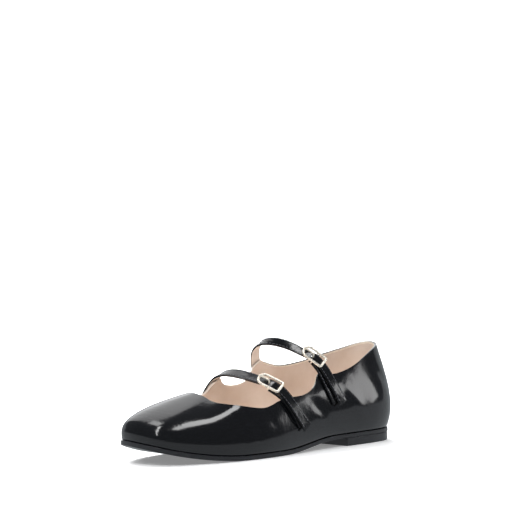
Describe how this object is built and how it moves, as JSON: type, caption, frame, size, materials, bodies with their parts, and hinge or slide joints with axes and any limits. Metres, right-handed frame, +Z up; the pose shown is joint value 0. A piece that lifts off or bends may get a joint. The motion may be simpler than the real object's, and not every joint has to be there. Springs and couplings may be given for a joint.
{
  "type": "mary jane shoe",
  "caption": "Left mary jane flat with a chiselled toe, open throat, slim buckled straps over the instep and a low block heel.",
  "frame": {"origin": "middle of the shoe's box in plan, on the floor that it stands on", "axes": "+X from heel to toe, +Y to the outer side of the left foot, +Z up"},
  "size_m": [0.2496, 0.0838, 0.0836],
  "materials": {
    "patent": "black crinkled patent leather, glossy clear coat",
    "lining": "tan unfinished leather lining, matte",
    "outsole": "black rubber sole, satin",
    "buckle": "pale gold plating, polished"
  },
  "bodies": {
    "root": {"outsole": "outsole", "heel_block": "outsole", "insole": "lining", "upper": "patent", "strap_front": "patent", "strap_rear": "patent", "anchor_front": "patent", "anchor_rear": "patent", "buckle_front": "buckle", "buckle_rear": "buckle", "prong_front": "buckle", "prong_rear": "buckle"}
  },
  "joints": []
}
